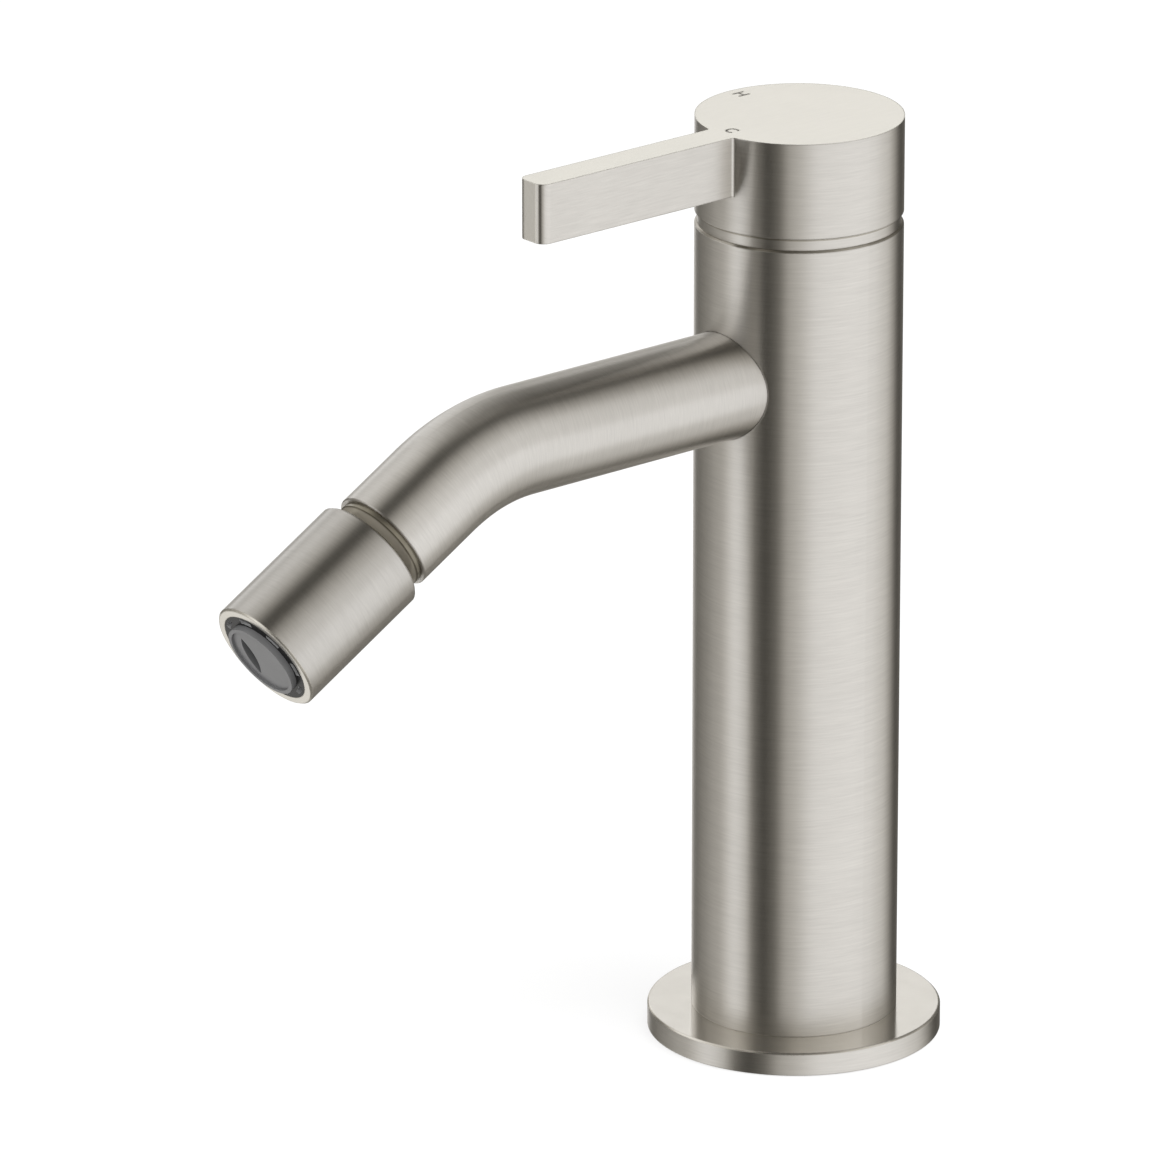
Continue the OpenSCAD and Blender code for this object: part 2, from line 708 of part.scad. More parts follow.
module grub_screw() {
    socket_w = grub_d / 2;
    color(steel) translate([0, adapter_d / 2 + fit_gap, grub_z]) rotate([-90, 0, 0])
        difference() {
            cylinder(h = grub_len, d = grub_d);
            translate([0, 0, grub_len / 2])
                cylinder(h = grub_len, d = socket_w / cos(30), $fn = 6);
        }
}

module grub_cap() {
    color(grey_plastic) translate([0, body_d / 2 - grub_cap_inset, grub_z]) rotate([90, 0, 0])
        cylinder(h = grub_cap_len, d = grub_d);
}

module ball_stud() {
    collar_rear = pipe_face + film_gap;
    shank_start = collar_rear - stud_shank_len;
    color(polished_nickel) on_outlet(ball_s) difference() {
        union() {
            turned([[0, shank_start], [stud_shank_d / 2, shank_start],
                [stud_shank_d / 2, collar_rear], [collar_d / 2, collar_rear],
                [collar_d / 2, collar_front - collar_edge],
                [collar_d / 2 - collar_edge, collar_front], [ball_neck_d / 2, collar_front],
                [ball_neck_d / 2, 0], [0, 0]]);
            sphere(d = ball_d);
        }
        translate([0, 0, shank_start - cut])
            cylinder(h = ball_flat - shank_start + 2 * cut, d = ball_bore_d);
        translate([0, 0, ball_flat]) cylinder(h = ball_d, d = ball_d + 2 * cut);
        cylinder(h = ball_d, d = stud_hex_w / cos(30), $fn = 6);
    }
}

module rear_ball_seat() {
    seat_rear = shoulder_face + film_gap;
    color(white_plastic) on_outlet(ball_s) difference() {
        translate([0, 0, seat_rear]) ring(seat_d, rear_seat_hole_d, -seat_split - seat_rear);
        sphere(d = ball_d + 2 * run_gap);
    }
}

module ball_seal() {
    centre_d = seat_d - ball_seal_cord;
    color(rubber) on_outlet(ball_s) seal_ring(centre_d, ball_seal_cord);
}

module front_ball_seat() {
    color(white_plastic) on_outlet(ball_s) difference() {
        translate([0, 0, seat_split]) ring(seat_d, front_seat_hole_d, front_seat_h - film_gap);
        sphere(d = ball_d + 2 * run_gap);
    }
}

module nozzle_sleeve() {
    outer_r = nozzle_d / 2;
    color(nickel) on_outlet(ball_s) turned([[mouth_d / 2, rear_face],
        [outer_r - nozzle_edge, rear_face], [outer_r, rear_face + nozzle_edge],
        [outer_r, front_face - nozzle_edge], [outer_r - nozzle_edge, front_face],
        [nozzle_bore_d / 2, front_face], [nozzle_bore_d / 2, shoulder_face],
        [throat_d / 2, shoulder_face]]);
}

module seat_retainer() {
    spanner_hole_d = 1.6;
    spanner_r = (seat_d + front_seat_hole_d) / 4;
    color(brass) on_outlet(ball_s) translate([0, 0, front_seat_end]) difference() {
        ring(seat_d, front_seat_hole_d, retainer_h);
        at_both_sides(spanner_r, 0)
            translate([0, 0, -cut]) cylinder(h = retainer_h + 2 * cut, d = spanner_hole_d);
    }
}

module aerator_washer() {
    color(rubber) on_outlet(ball_s) translate([0, 0, retainer_end])
        ring(seat_d, aerator_bore_d, aerator_washer_h);
}

module aerator_housing() {
    bore_r = aerator_bore_d / 2;
    ledge_r = bore_r - regulator_ledge_w;
    color(black_plastic) on_outlet(ball_s) turned([[ledge_r, washer_end], [seat_d / 2, washer_end],
        [seat_d / 2, insert_flange_z], [bore_r, insert_flange_z], [bore_r, regulator_z],
        [ledge_r, regulator_z]]);
}

module flow_regulator() {
    hole_d = 1.2;
    rows = 2;
    row_pitch = aerator_bore_d / 2 / (rows + 1);
    color(white_plastic) on_outlet(ball_s) translate([0, 0, regulator_z]) difference() {
        cylinder(h = regulator_h, d = aerator_bore_d - 2 * fit_gap);
        for (row = [1 : rows], i = [0 : 6 * row - 1]) rotate([0, 0, i * 60 / row])
            translate([row * row_pitch, 0, -cut])
                cylinder(h = regulator_h + 2 * cut, d = hole_d, $fn = 24);
    }
}

module aerator_mesh() {
    mesh_d = aerator_bore_d - 2 * fit_gap;
    reach = floor((mesh_d / 2 - mesh_pitch) / mesh_pitch);
    color(steel) on_outlet(ball_s) translate([0, 0, mesh_z]) difference() {
        cylinder(h = mesh_h, d = mesh_d);
        for (i = [-reach : reach], j = [-reach : reach])
            if (norm([i, j]) * mesh_pitch < mesh_d / 2 - mesh_pitch)
                translate([i * mesh_pitch - mesh_hole_w / 2, j * mesh_pitch - mesh_hole_w / 2, -cut])
                    cube([mesh_hole_w, mesh_hole_w, mesh_h + 2 * cut]);
    }
}

// The lens shape of the outlet slot: what two equal circles share
module slot_outline() {
    arc_r = (pow(slot_len, 2) + pow(slot_w, 2)) / (4 * slot_w);
    intersection() {
        translate([slot_w / 2 - arc_r, 0]) circle(r = arc_r);
        translate([arc_r - slot_w / 2, 0]) circle(r = arc_r);
    }
}

module aerator_insert() {
    face_top = front_face + insert_proud - insert_recess;
    inner_r = insert_d / 2 - insert_lip_w;
    color(grey_plastic) on_outlet(ball_s) difference() {
        turned([[inner_r, insert_flange_z], [seat_d / 2 - fit_gap, insert_flange_z],
            [seat_d / 2 - fit_gap, key_ring_z], [insert_d / 2, key_ring_z],
            [insert_d / 2, front_face + insert_proud], [inner_r, front_face + insert_proud],
            [inner_r, face_top], [0, face_top], [0, face_top - insert_face_h],
            [inner_r, face_top - insert_face_h]]);
        translate([-slot_x, 0, face_top - insert_face_h - cut])
            linear_extrude(insert_face_h + 2 * cut) slot_outline();
    }
}

module aerator_key_ring() {
    inner_d = insert_d + 2 * fit_gap;
    window_r = seat_d / 2 - key_ring_wall - key_window_w;
    color(black_plastic) on_outlet(ball_s) translate([0, 0, key_ring_z]) difference() {
        ring(seat_d, inner_d, key_ring_h);
        for (i = [0 : key_windows - 1])
            rotate([0, 0, i * 360 / key_windows - key_window_sweep / 2])
                rotate_extrude(angle = key_window_sweep)
                    translate([window_r, -cut]) square([key_window_w, key_ring_h + 2 * cut]);
    }
}

body();
base_flange();
base_seal();
cartridge_base();
port_seals();
lower_ceramic_disc();
cartridge_housing();
cartridge_nut();
trim_ring();
glide_ring();
spout_tube();
spout_union();
spout_root_seal();
outlet_bush();
stud_gasket();
upper_ceramic_disc();
disc_carrier();
spindle();
spindle_seals();
thrust_washer();
spline_adapter();
handle();
grub_screw();
grub_cap();
ball_stud();
rear_ball_seat();
ball_seal();
front_ball_seat();
nozzle_sleeve();
seat_retainer();
aerator_washer();
aerator_housing();
flow_regulator();
aerator_mesh();
aerator_insert();
aerator_key_ring();
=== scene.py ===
"""Looks of the single-lever bidet mixer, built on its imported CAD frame.

Metres, +Z up, the origin at the centre of the foot. The column, its head and its flange turn
about Z. The spout runs towards -Y, bends down, and carries the nozzle on its sloping axis.
"""

import math

import bpy
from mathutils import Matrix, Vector

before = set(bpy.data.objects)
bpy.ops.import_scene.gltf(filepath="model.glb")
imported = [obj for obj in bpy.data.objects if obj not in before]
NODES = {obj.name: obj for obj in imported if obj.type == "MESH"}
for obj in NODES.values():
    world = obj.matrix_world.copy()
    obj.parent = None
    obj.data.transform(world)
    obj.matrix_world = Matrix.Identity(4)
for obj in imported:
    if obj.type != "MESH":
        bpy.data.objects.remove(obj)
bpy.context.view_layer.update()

# Camera
CAMERA_SPOT = Vector((1.3188, -1.1630, 0.7004))
CAMERA_AIM = Vector((0.0, -0.04778, 0.0908))
LENS = 343.4
CLIP = (0.05, 20.0)

# Shapes that the finishes follow, as in the CAD
COLUMN_R = 0.0175
TOP_Z = 0.162
MARK_DEPTH = 0.00015
SPOUT_Z = 0.11816
BEND_R = 0.0355
BEND_ANGLE = math.radians(30)
BEND_CENTRE_Y = -0.061088
BEND_CENTRE_Z = SPOUT_Z - BEND_R
# The letters on the head's top lie inside the first radius, and the lever starts at the second
MARKS_R = COLUMN_R - 0.0005
LEVER_R = COLUMN_R + 0.0001
# How far the shaded rounding of an edge reaches
EDGE_R = 0.0003
# Distances from the spout's axis: between the first two are the walls of the windows in the
# notched ring, and between the other two the swivel turns into its collar's side
WINDOW_R = (0.0073, 0.0084)
COLLAR_R = (0.0082, 0.0084)
# Heights of the two corners of the groove under the head, which carry painted shade
GROOVE_CORNERS = [(0.14322, 0.14352), (0.14515, 0.1456)]

# Directions of the object
UP = (0.0, 0.0, 1.0)
DOWN = (0.0, 0.0, -1.0)
LEVER_WAY = (0.0, -1.0, 0.0)
SIDEWAYS = (1.0, 0.0, 0.0)
OUTLET = (0.0, -math.cos(BEND_ANGLE), -math.sin(BEND_ANGLE))
# How closely a face has to face a direction, as a cosine: as a rule, and at the lever's end
FACING = 0.7
FLAT_END = 0.99

# Metals
NICKEL = (0.663, 0.642, 0.609)
SPOUT_NICKEL = tuple(0.96 * channel for channel in NICKEL)
NOZZLE_NICKEL = tuple(0.85 * channel for channel in NICKEL)
SATIN_NICKEL = (0.66, 0.635, 0.568)
BRIGHT_SATIN = (0.68, 0.652, 0.598)
# The lever's end face: a satin face, and lighter as painted light
LIT_TIP_NICKEL = (0.92, 0.89, 0.83)
# The outlet's end face: a satin face, and lighter as painted light
LIT_RIM_NICKEL = (0.735, 0.705, 0.64)
# Painted shade on the lever's underside
UNDERSIDE_SHADE_NICKEL = (0.31, 0.295, 0.27)
LETTER_NICKEL = (0.38, 0.367, 0.342)
# Painted shade for the corners of the groove under the head
GROOVE_SHADE_NICKEL = (0.45, 0.422, 0.37)
POLISHED_NICKEL = (0.62, 0.575, 0.485)
# Painted shade on the collar's side, between the pipe's end and the nozzle's sleeve
COLLAR_SHADE_NICKEL = (0.24, 0.218, 0.17)
BRASS = (0.71, 0.55, 0.32)
STEEL = (0.62, 0.63, 0.64)

# Ceramic, plastics and rubber
CERAMIC = (0.88, 0.86, 0.82)
WHITE_PLASTIC = (0.80, 0.80, 0.77)
GREY_PLASTIC = (0.29, 0.29, 0.295)
BLACK_PLASTIC = (0.012, 0.012, 0.013)
# Painted light on the walls of the notched ring's windows
LIT_WINDOW_GREY = (0.6, 0.6, 0.6)
HOUSING_GREY = (0.40, 0.40, 0.40)
RUBBER = (0.02, 0.02, 0.02)

# The brushed finish, with the length of its marks on the column and on the slimmer spout
ANISOTROPY = 0.92
BRUSHED_ROUGHNESS = (0.29, 0.35)
BRUSHED_CONTRAST = 0.095
BRUSHED_RELIEF = 0.000002
COLUMN_MARK = 0.007
SPOUT_MARK = 0.0045
COARSE_SHARE = 0.65
# What is left of its contrast and of its roughness on the satin flat faces
SATIN_CONTRAST = 0.4
SATIN_ROUGHNESS = 0.36

# The swivel's finish. How metallic it is comes first for the rest and then for the collar's side
POLISHED_ROUGHNESS = (0.15, 0.21)
POLISHED_METAL = (0.5, 0.7)
POLISHED_RELIEF = 0.0000015

# Bare turned metal
MACHINED_ROUGHNESS = (0.22, 0.34)
MACHINED_RELIEF = 0.00001

# Moulded pieces: the size of the grain, and how far their roughness spreads
GRAIN = 0.0001
GRAIN_ROUGHNESS = 0.05

# The parts of a noise's range that carry streaks, clouds and grain
STREAK_NOISE = (0.25, 0.75)
CLOUD_NOISE = (0.3, 0.7)

# Studio: what stands round the object at four heights, by azimuth from the camera's side in
# degrees, positive to the camera's right. 1 is the white backdrop, 0 a dark flag, and more
# than 1 a bright panel
CAMERA_AZIMUTH = math.atan2(CAMERA_SPOT.y, CAMERA_SPOT.x)
LOW = [
    (-180, 0.30), (-160, 0.60), (-137, 0.81), (-95, 0.60), (-66, 0.30), (-45, 0.12), (-30, 0.12),
    (0, 0.52), (35, 0.84), (70, 0.84), (100, 0.56), (135, 0.38), (165, 0.20), (180, 0.30),
]
LEVEL = [
    (-180, 0.24), (-172, 0.66), (-163, 0.80), (-158, 0.35), (-153, 0.12), (-120, 0.22),
    (-95, 0.37), (-68, 0.99), (-58, 0.85), (-46, 0.13), (-35, 0.02), (-24, 0.13), (-8, 0.58),
    (22, 0.99), (55, 1.0), (85, 0.98), (112, 0.75), (128, 0.40), (137, 0.10), (150, 0.06),
    (163, 0.16), (180, 0.22),
]
MIDDLE = [
    (-180, 0.18), (-170, 0.40), (-160, 1.20), (-152, 1.20), (-143, 0.50), (-135, 0.16),
    (-101, 0.30), (-69, 0.62), (-37, 0.06), (-21, 0.16), (10, 0.53), (43, 0.76), (81, 0.92),
    (95, 0.70), (123, 0.39), (139, 0.13), (155, 0.11), (180, 0.20),
]
HIGH = [
    (-180, 0.20), (-163, 0.40), (-150, 0.98), (-135, 1.05), (-120, 1.25), (-80, 1.02), (-60, 0.60),
    (-35, 0.12), (-15, 0.25), (10, 0.75), (35, 0.98), (70, 1.12), (90, 1.12), (110, 0.28),
    (125, 0.10), (155, 0.11), (180, 0.20),
]
# Where each ring passes into the next, as the sine of the height
NADIR_TO_LOW = (-0.98, -0.78)
LOW_TO_LEVEL = (-0.62, -0.40)
LEVEL_TO_MIDDLE = (0.0, 0.22)
MIDDLE_TO_HIGH = (0.42, 0.62)
HIGH_TO_ZENITH = (0.92, 0.995)
NADIR = 0.16
# The dark middle of the ceiling: its place as towards, right and up, and by distance from it,
# how much light is left
CEILING_SPOT = (0.17, 0.06, 0.975)
CEILING = [
    (0.0, 0.06), (0.18, 0.10), (0.30, 0.28), (0.42, 0.44), (0.62, 0.60), (0.93, 0.80),
    (1.33, 1.0),
]
# A bright panel at the back: its place, and how far its full and its last light reach
PANEL_SPOT = (-0.943, 0.0, 0.333)
PANEL_REACH = (0.06, 0.12)
# How bright the studio is for metal, and the tint of what is dark in it
STUDIO = 1.18
WARM = (1.0, 0.945, 0.83)
# The even light that matt surfaces get
PLAIN_LIGHT = 0.8

# Floor, just under the foot: its paint, and the glow that makes it white for the camera
FLOOR_HALF = 4.0
FLOOR_Z = -0.0002
FLOOR_PAINT = 0.3
FLOOR_GLOW = 0.74

# Lamp
LAMP_SPOT = Vector((0.7, 0.2, 1.5))
LAMP_AIM = Vector((0.0, 0.0, 0.08))
LAMP_SIZE = 1.2
LAMP_POWER = 14.0


def grey(level):
    return (level, level, level, 1)


class Tree:
    """A node tree, with short ways to add nodes and to join them."""

    def __init__(self, tree):
        self.tree = tree
        tree.nodes.clear()

    def put(self, node, name, value):
        socket = node.inputs[name]
        if isinstance(value, bpy.types.NodeSocket):
            self.tree.links.new(value, socket)
        else:
            socket.default_value = value

    def add(self, kind, inputs=None, **settings):
        node = self.tree.nodes.new(kind)
        for name, value in settings.items():
            setattr(node, name, value)
        for name, value in (inputs or {}).items():
            self.put(node, name, value)
        return node

    def math(self, operation, *values):
        node = self.add("ShaderNodeMath", operation=operation)
        for index, value in enumerate(values):
            self.put(node, index, value)
        return node.outputs[0]

    def vector(self, operation, *values, output=0):
        node = self.add("ShaderNodeVectorMath", operation=operation)
        for index, value in enumerate(values):
            self.put(node, index, value)
        return node.outputs[output]

    def measure(self, operation, *values):
        """A vector operation that gives a number"""
        return self.vector(operation, *values, output="Value")

    def combine(self, x, y, z):
        return self.add("ShaderNodeCombineXYZ", {"X": x, "Y": y, "Z": z}).outputs[0]

    def separate(self, vector):
        return self.add("ShaderNodeSeparateXYZ", {0: vector}).outputs

    def scaled(self, value, low, high, span=(0.0, 1.0), kind="LINEAR"):
        """value's range span, made to run from low to high, and no further"""
        node = self.add("ShaderNodeMapRange", interpolation_type=kind)
        for index, item in enumerate((value, *span, low, high)):
            self.put(node, index, item)
        return node.outputs[0]

    def smooth(self, value, start, end):
        """0 up to start and 1 from end, with a smooth step between"""
        return self.scaled(value, 0.0, 1.0, (start, end), "SMOOTHSTEP")

    def between(self, value, start, end):
        """1 where value lies between start and end"""
        return self.math("MULTIPLY", self.math("GREATER_THAN", value, start),
                         self.math("LESS_THAN", value, end))

    def mix(self, factor, a, b):
        """a where factor is 0 and b where it is 1. A plain colour needs no alpha."""
        node = self.add("ShaderNodeMix", data_type="RGBA")
        self.put(node, 0, factor)
        for index, colour in ((6, a), (7, b)):
            if isinstance(colour, tuple):
                colour = (*colour[:3], 1)
            self.put(node, index, colour)
        return node.outputs[2]

    def mix_vector(self, factor, a, b):
        node = self.add("ShaderNodeMix", data_type="VECTOR")
        for index, value in ((0, factor), (4, a), (5, b)):
            self.put(node, index, value)
        return node.outputs[1]

    def shade(self, colour, level):
        """colour times level"""
        node = self.add("ShaderNodeVectorMath", operation="SCALE")
        self.put(node, 0, colour)
        self.put(node, "Scale", level)
        return node.outputs[0]

    def object_place(self):
        return self.add("ShaderNodeTexCoord").outputs["Object"]

    def facing(self, direction, least=FACING):
        """1 where the surface faces a direction of its object"""
        normal = self.add("ShaderNodeTexCoord").outputs["Normal"]
        return self.math("GREATER_THAN", self.measure("DOT_PRODUCT", normal, direction), least)

    def ray(self, kind):
        return self.add("ShaderNodeLightPath").outputs["Is " + kind + " Ray"]

    def seen(self):
        """1 for the camera's rays and for those through glass"""
        return self.math("MAXIMUM", self.ray("Camera"), self.ray("Transmission"))

    def noise(self, vector, scale=1.0, detail=2.0, roughness=0.5):
        return self.add("ShaderNodeTexNoise", {
            "Vector": vector, "Scale": scale, "Detail": detail, "Roughness": roughness,
        }).outputs["Fac"]

    def bump(self, height, distance, **inputs):
        return self.add("ShaderNodeBump", {
            "Strength": 1.0, "Distance": distance, "Height": height, **inputs,
        }).outputs[0]

    def ramp(self, factor, stops):
        """Grey levels that ease from stop to stop"""
        node = self.add("ShaderNodeValToRGB", {"Fac": factor})
        ramp = node.color_ramp
        ramp.interpolation = "EASE"
        ready = len(ramp.elements)
        for index, (position, level) in enumerate(stops):
            if index < ready:
                element = ramp.elements[index]
                element.position = position
            else:
                element = ramp.elements.new(position)
            element.color = grey(level)
        return node.outputs["Color"]


def new_material(name):
    material = bpy.data.materials.new(name)
    material.use_nodes = True
    tree = Tree(material.node_tree)
    shader = tree.add("ShaderNodeBsdfPrincipled")
    tree.add("ShaderNodeOutputMaterial", {"Surface": shader.outputs[0]})
    return material, tree, shader


def dress(material, *names):
    """Gives CAD nodes a material."""
    for name in names:
        for slot in NODES[name].material_slots:
            slot.material = material


def about_column(tree):
    """Place and axis of a piece turned about Z: the place's third number runs along the axis."""
    return tree.object_place(), UP


def along_spout(tree):
    """Place and axis of a piece on the spout: the place's third number runs along the bent
    axis, and its second outwards from the bend's centre."""
    x, y, z = tree.separate(tree.object_place())
    back = tree.math("SUBTRACT", BEND_CENTRE_Y, y)
    up = tree.math("SUBTRACT", z, BEND_CENTRE_Z)
    turn = tree.math("ARCTAN2", back, up)
    turn = tree.math("MINIMUM", tree.math("MAXIMUM", turn, 0.0), BEND_ANGLE)
    sin, cos = tree.math("SINE", turn), tree.math("COSINE", turn)
    # offsets from the bend's centre, turned into the axis's own direction
    out = tree.math("MULTIPLY_ADD", up, cos, tree.math("MULTIPLY", back, sin))
    run = tree.math("SUBTRACT", tree.math("MULTIPLY", back, cos), tree.math("MULTIPLY", up, sin))
    along = tree.math("MULTIPLY_ADD", turn, BEND_R, run)
    axis = tree.combine(0.0, tree.math("MULTIPLY", cos, -1.0), tree.math("MULTIPLY", sin, -1.0))
    return tree.combine(x, out, along), axis


def spout_radius(tree, place):
    """How far a place along the spout is from its axis"""
    x, out, along = tree.separate(place)
    return tree.measure("LENGTH", tree.combine(x, tree.math("SUBTRACT", out, BEND_R), 0.0))


def world_axis(tree, axis):
    """An axis of the object, turned into the world's directions."""
    return tree.add("ShaderNodeVectorTransform", {"Vector": axis}, vector_type="VECTOR",
                    convert_from="OBJECT", convert_to="WORLD").outputs[0]


def streaks(tree, place, length=COLUMN_MARK, width=0.00032):
    """Brush marks, coarse and fine: long across the place's third number and narrow along it."""
    coarse = tree.vector("MULTIPLY", place, (1 / length, 1 / length, 1 / width))
    fine = tree.vector("MULTIPLY", place, (2.2 / length, 2.2 / length, 3.0 / width))
    return (tree.noise(coarse, detail=3.0, roughness=0.6),
            tree.noise(fine, detail=2.0, roughness=0.6))


def finish_brushed(tree, shader, colour, place, axis, flat=None, flat_metal=0.8,
                   length=COLUMN_MARK):
    """The brushed finish: streaked colour, gloss and relief, with highlights along the axis.
    flat is 1 on the satin flat faces, where fine scratches also scatter some light."""
    coarse, fine = streaks(tree, place, length)
    cloud = tree.noise(place, scale=70.0, detail=2.0)
    marks = tree.math("ADD", tree.math("MULTIPLY", coarse, COARSE_SHARE),
                      tree.math("MULTIPLY", fine, 1 - COARSE_SHARE))
    contrast = BRUSHED_CONTRAST
    roughness = tree.scaled(fine, *BRUSHED_ROUGHNESS, STREAK_NOISE)
    metallic = 1.0
    if flat is not None:
        contrast = tree.scaled(flat, BRUSHED_CONTRAST, SATIN_CONTRAST * BRUSHED_CONTRAST)
        roughness = tree.math("MULTIPLY", roughness, tree.scaled(flat, 1.0, SATIN_ROUGHNESS))
        metallic = tree.scaled(flat, 1.0, flat_metal)
    level = tree.math("MULTIPLY_ADD", tree.scaled(marks, -1.0, 1.0, STREAK_NOISE), contrast, 1.0)
    level = tree.math("MULTIPLY", level, tree.scaled(cloud, 0.985, 1.015, CLOUD_NOISE))
    tree.put(shader, "Base Color", tree.shade(colour, level))
    tree.put(shader, "Metallic", metallic)
    tree.put(shader, "Roughness", roughness)
    tree.put(shader, "Anisotropic", ANISOTROPY)
    tree.put(shader, "Tangent", world_axis(tree, axis))
    broken_edge = tree.add("ShaderNodeBevel", {"Radius": EDGE_R}, samples=4).outputs[0]
    tree.put(shader, "Normal", tree.bump(marks, BRUSHED_RELIEF, Normal=broken_edge))


def column_nickel():
    """Brushed round the column and its trim ring, with painted shade in the corners of the groove.
    """
    material, tree, shader = new_material("column_brushed_nickel")
    place, axis = about_column(tree)
    height = tree.separate(place)[2]
    # Painted shade: the groove's two corners are darkened
    corners = [tree.between(height, *corner) for corner in GROOVE_CORNERS]
    colour = tree.mix(tree.math("MAXIMUM", *corners), NICKEL, GROOVE_SHADE_NICKEL)
    finish_brushed(tree, shader, colour, place, axis)
    return material


def spout_nickel():
    """Brushed round the pipe."""
    material, tree, shader = new_material("spout_brushed_nickel")
    place, axis = along_spout(tree)
    finish_brushed(tree, shader, SPOUT_NICKEL, place, axis, length=SPOUT_MARK)
    return material


def ended_nickel(name, frame_of, colour, end, end_colour, **finish):
    """Brushed round the piece, with a plain satin face at one end."""
    material, tree, shader = new_material(name)
    place, axis = frame_of(tree)
    flat = tree.facing(end)
    finish_brushed(tree, shader, tree.mix(flat, colour, end_colour), place,
                   tree.mix_vector(flat, axis, SIDEWAYS), flat, **finish)
    return material


def handle_nickel():
    """Brushed round the head, lengthwise on the lever, and dark in the letters, with painted light
    on the lever's end and painted shade on its underside.
    """
    material, tree, shader = new_material("handle_brushed_nickel")
    place = tree.object_place()
    x, y, z = tree.separate(place)
    radius = tree.measure("LENGTH", tree.combine(x, y, 0.0))
    top = tree.facing(UP)
    lever = tree.math("GREATER_THAN", radius, LEVER_R)
    tip = tree.math("MULTIPLY", lever, tree.facing(LEVER_WAY, FLAT_END))
    swapped = tree.combine(y, y, tree.math("ADD", x, z))
    brushed = tree.mix_vector(tree.math("MAXIMUM", top, lever), place, swapped)
    axis = tree.mix_vector(top, UP, SIDEWAYS)
    letters = tree.math("MULTIPLY", tree.math("LESS_THAN", radius, MARKS_R),
                        tree.between(z, TOP_Z - 2 * MARK_DEPTH, TOP_Z - MARK_DEPTH / 4))
    colour = tree.mix(top, NICKEL, SATIN_NICKEL)
    # Painted light: the lever's end face is lighter
    colour = tree.mix(tip, colour, LIT_TIP_NICKEL)
    # Painted shade: faces turned down are darkened
    colour = tree.mix(tree.facing(DOWN), colour, UNDERSIDE_SHADE_NICKEL)
    colour = tree.mix(letters, colour, LETTER_NICKEL)
    finish_brushed(tree, shader, colour, brushed, axis, tree.math("MAXIMUM", top, tip),
                   flat_metal=0.6)
    return material


def polished_nickel():
    """The swivel's nickel: smooth, with turning rings so fine that they only soften it, and
    darker on the collar's side as painted shade."""
    material, tree, shader = new_material("polished_nickel")
    place, axis = along_spout(tree)
    coarse, fine = streaks(tree, place, length=0.012, width=0.0002)
    level = tree.scaled(coarse, 0.95, 1.05, STREAK_NOISE)
    side = tree.smooth(spout_radius(tree, place), *COLLAR_R)
    # Painted shade: the collar's side gets the darker colour
    colour = tree.mix(side, POLISHED_NICKEL, COLLAR_SHADE_NICKEL)
    tree.put(shader, "Base Color", tree.shade(colour, level))
    tree.put(shader, "Metallic", tree.scaled(side, *POLISHED_METAL))
    tree.put(shader, "Roughness", tree.scaled(fine, *POLISHED_ROUGHNESS, STREAK_NOISE))
    tree.put(shader, "Normal", tree.bump(coarse, POLISHED_RELIEF))
    return material


def machined(name, colour, frame_of):
    """Bare metal with the fine rings that a lathe leaves."""
    material, tree, shader = new_material(name)
    place, axis = frame_of(tree)
    coarse, fine = streaks(tree, place, length=0.02, width=0.0004)
    cloud = tree.noise(place, scale=300.0, detail=3.0)
    level = tree.math("ADD", tree.scaled(coarse, 0.88, 1.05, STREAK_NOISE),
                      tree.scaled(cloud, -0.04, 0.04, CLOUD_NOISE))
    tree.put(shader, "Base Color", tree.shade(colour, level))
    tree.put(shader, "Metallic", 1.0)
    tree.put(shader, "Roughness", tree.scaled(fine, *MACHINED_ROUGHNESS, STREAK_NOISE))
    tree.put(shader, "Normal", tree.bump(coarse, MACHINED_RELIEF))
    return material


def window_walls(tree):
    """1 on the walls of the windows in the notched ring, where light grey is painted as painted
    light
    """
    inside = tree.between(spout_radius(tree, along_spout(tree)[0]), *WINDOW_R)
    return tree.math("MULTIPLY", inside, tree.math("SUBTRACT", 1.0, tree.facing(OUTLET)))


def moulded(name, colour, roughness=0.4, relief=0.000004, spread=0.04, gloss=0.5, painted_light=None):
    """Plastic, rubber or ceramic: a fine grain, and faint clouds of colour as strong as spread.
    The last argument is a mask and a lighter colour painted there as painted light."""
    material, tree, shader = new_material(name)
    place = tree.object_place()
    grain = tree.noise(place, scale=1 / GRAIN, detail=3.0)
    cloud = tree.noise(place, scale=250.0, detail=2.0)
    if painted_light:
        mask, other = painted_light
        # Painted light: the masked part gets the lighter colour
        colour = tree.mix(mask(tree), colour, other)
    level = tree.scaled(cloud, 1 - spread, 1 + spread, CLOUD_NOISE)
    tree.put(shader, "Base Color", tree.shade(colour, level))
    tree.put(shader, "Roughness", tree.scaled(grain, roughness - GRAIN_ROUGHNESS,
                                              roughness + GRAIN_ROUGHNESS, CLOUD_NOISE))
    tree.put(shader, "Specular IOR Level", gloss)
    tree.put(shader, "Normal", tree.bump(grain, relief))
    return material


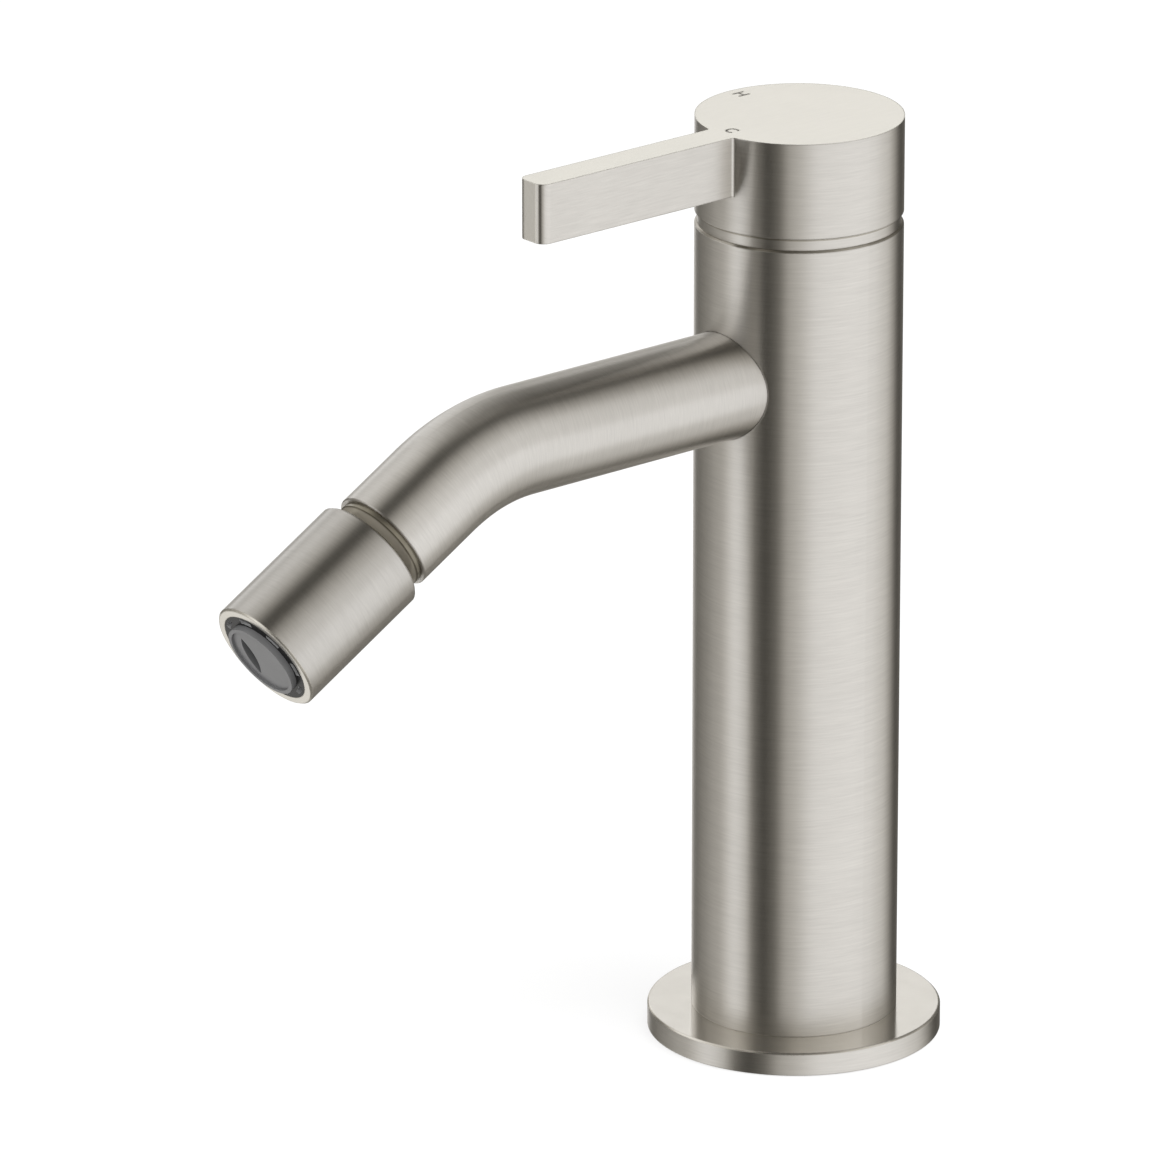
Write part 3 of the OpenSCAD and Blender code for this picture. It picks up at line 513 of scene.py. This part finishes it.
def dress_all():
    dress(column_nickel(), "body", "trim_ring")
    dress(ended_nickel("flange_brushed_nickel", about_column, NICKEL, UP, BRIGHT_SATIN,
                       flat_metal=0.95), "base_flange")
    dress(spout_nickel(), "spout_tube")
    # The outlet's end face is lighter: its satin finish, and painted light
    dress(ended_nickel("nozzle_brushed_nickel", along_spout, NOZZLE_NICKEL, OUTLET, LIT_RIM_NICKEL,
                       length=SPOUT_MARK), "nozzle_sleeve")
    dress(handle_nickel(), "handle")
    dress(polished_nickel(), "ball_stud")
    dress(machined("column_brass", BRASS, about_column), "cartridge_nut", "spindle")
    dress(machined("spout_brass", BRASS, along_spout),
          "spout_union", "outlet_bush", "seat_retainer")
    dress(machined("machined_steel", STEEL, about_column), "grub_screw", "aerator_mesh")
    dress(moulded("ceramic", CERAMIC, roughness=0.12, relief=0.000001),
          "lower_ceramic_disc", "upper_ceramic_disc")
    dress(moulded("white_plastic", WHITE_PLASTIC),
          "cartridge_base", "cartridge_housing", "glide_ring", "disc_carrier", "thrust_washer",
          "spline_adapter", "rear_ball_seat", "front_ball_seat", "flow_regulator")
    dress(moulded("grey_plastic", GREY_PLASTIC, roughness=0.35), "aerator_insert", "grub_cap")
    # The walls of the ring's windows are painted light grey, as painted light
    dress(moulded("black_plastic", BLACK_PLASTIC, roughness=0.3, gloss=0.15,
                  painted_light=(window_walls, LIT_WINDOW_GREY)), "aerator_key_ring")
    dress(moulded("housing_plastic", HOUSING_GREY), "aerator_housing")
    dress(moulded("rubber", RUBBER, roughness=0.55, spread=0.1),
          "base_seal", "port_seals", "spout_root_seal", "stud_gasket", "spindle_seals",
          "ball_seal", "aerator_washer")


def place_facing(thing, spot, aim):
    """Puts a camera or a lamp into the scene, looking from spot to aim."""
    thing.location = spot
    thing.rotation_euler = (aim - spot).to_track_quat("-Z", "Y").to_euler()
    bpy.context.scene.collection.objects.link(thing)


def make_camera():
    data = bpy.data.cameras.new("camera")
    data.lens = LENS
    data.clip_start, data.clip_end = CLIP
    camera = bpy.data.objects.new("camera", data)
    place_facing(camera, CAMERA_SPOT, CAMERA_AIM)
    bpy.context.scene.camera = camera


def studio_light(tree):
    """What metal mirrors, by direction: the rings of backdrop, the ceiling and the panel."""
    direction = tree.add("ShaderNodeTexCoord").outputs["Generated"]
    turned = tree.add("ShaderNodeVectorRotate", {"Vector": direction, "Angle": -CAMERA_AZIMUTH},
                      rotation_type="Z_AXIS").outputs[0]
    towards, right, up = tree.separate(turned)
    azimuth = tree.math("MULTIPLY_ADD", tree.math("ARCTAN2", right, towards), 0.5 / math.pi, 0.5)
    low, level, middle, high = (
        tree.ramp(azimuth, [(0.5 + angle / 360, shade) for angle, shade in ring])
        for ring in (LOW, LEVEL, MIDDLE, HIGH))
    low = tree.mix(tree.smooth(up, *NADIR_TO_LOW), grey(NADIR), low)
    high = tree.mix(tree.smooth(up, *HIGH_TO_ZENITH), high, grey(1))
    distance = tree.measure("DISTANCE", turned, CEILING_SPOT)
    last = CEILING[-1][0]
    ceiling = tree.ramp(tree.math("DIVIDE", distance, last),
                        [(at / last, shade) for at, shade in CEILING])
    high = tree.vector("MULTIPLY", high, ceiling)
    studio = tree.mix(tree.smooth(up, *LOW_TO_LEVEL), low, level)
    studio = tree.mix(tree.smooth(up, *LEVEL_TO_MIDDLE), studio, middle)
    studio = tree.mix(tree.smooth(up, *MIDDLE_TO_HIGH), studio, high)
    distance = tree.measure("DISTANCE", turned, PANEL_SPOT)
    studio = tree.mix(tree.smooth(distance, *PANEL_REACH), grey(1), studio)
    studio = tree.vector("MULTIPLY", studio, tree.mix(studio, WARM, grey(1)))
    return tree.shade(studio, STUDIO)


def make_world():
    """White for the camera and through glass. Gloss mirrors the studio, and matt surfaces get
    plain even light."""
    world = bpy.data.worlds.new("studio")
    bpy.context.scene.world = world
    world.use_nodes = True
    world.cycles.sampling_method = "NONE"
    tree = Tree(world.node_tree)
    light = tree.mix(tree.ray("Glossy"), grey(PLAIN_LIGHT), studio_light(tree))
    shown = tree.mix(tree.seen(), light, grey(1))
    background = tree.add("ShaderNodeBackground", {"Color": shown, "Strength": 1.0})
    tree.add("ShaderNodeOutputWorld", {"Surface": background.outputs[0]})


def make_floor():
    half = FLOOR_HALF
    mesh = bpy.data.meshes.new("floor")
    mesh.from_pydata([(-half, -half, 0), (half, -half, 0), (half, half, 0), (-half, half, 0)],
                     [], [(0, 1, 2, 3)])
    floor = bpy.data.objects.new("floor", mesh)
    floor.location.z = FLOOR_Z
    floor.visible_glossy = False
    bpy.context.scene.collection.objects.link(floor)
    material = bpy.data.materials.new("floor_paint")
    material.use_nodes = True
    tree = Tree(material.node_tree)
    paint = tree.add("ShaderNodeBsdfDiffuse", {"Color": grey(FLOOR_PAINT)})
    glow = tree.add("ShaderNodeEmission", {
        "Color": grey(1), "Strength": tree.math("MULTIPLY", tree.seen(), FLOOR_GLOW),
    })
    both = tree.add("ShaderNodeAddShader", {0: paint.outputs[0], 1: glow.outputs[0]})
    tree.add("ShaderNodeOutputMaterial", {"Surface": both.outputs[0]})
    mesh.materials.append(material)


def make_lamp():
    data = bpy.data.lights.new("soft_lamp", "AREA")
    data.shape = "DISK"
    data.size = LAMP_SIZE
    data.energy = LAMP_POWER
    lamp = bpy.data.objects.new("soft_lamp", data)
    lamp.visible_glossy = False
    place_facing(lamp, LAMP_SPOT, LAMP_AIM)


make_camera()
make_world()
make_floor()
make_lamp()
dress_all()
bpy.context.scene.view_settings.view_transform = "Standard"
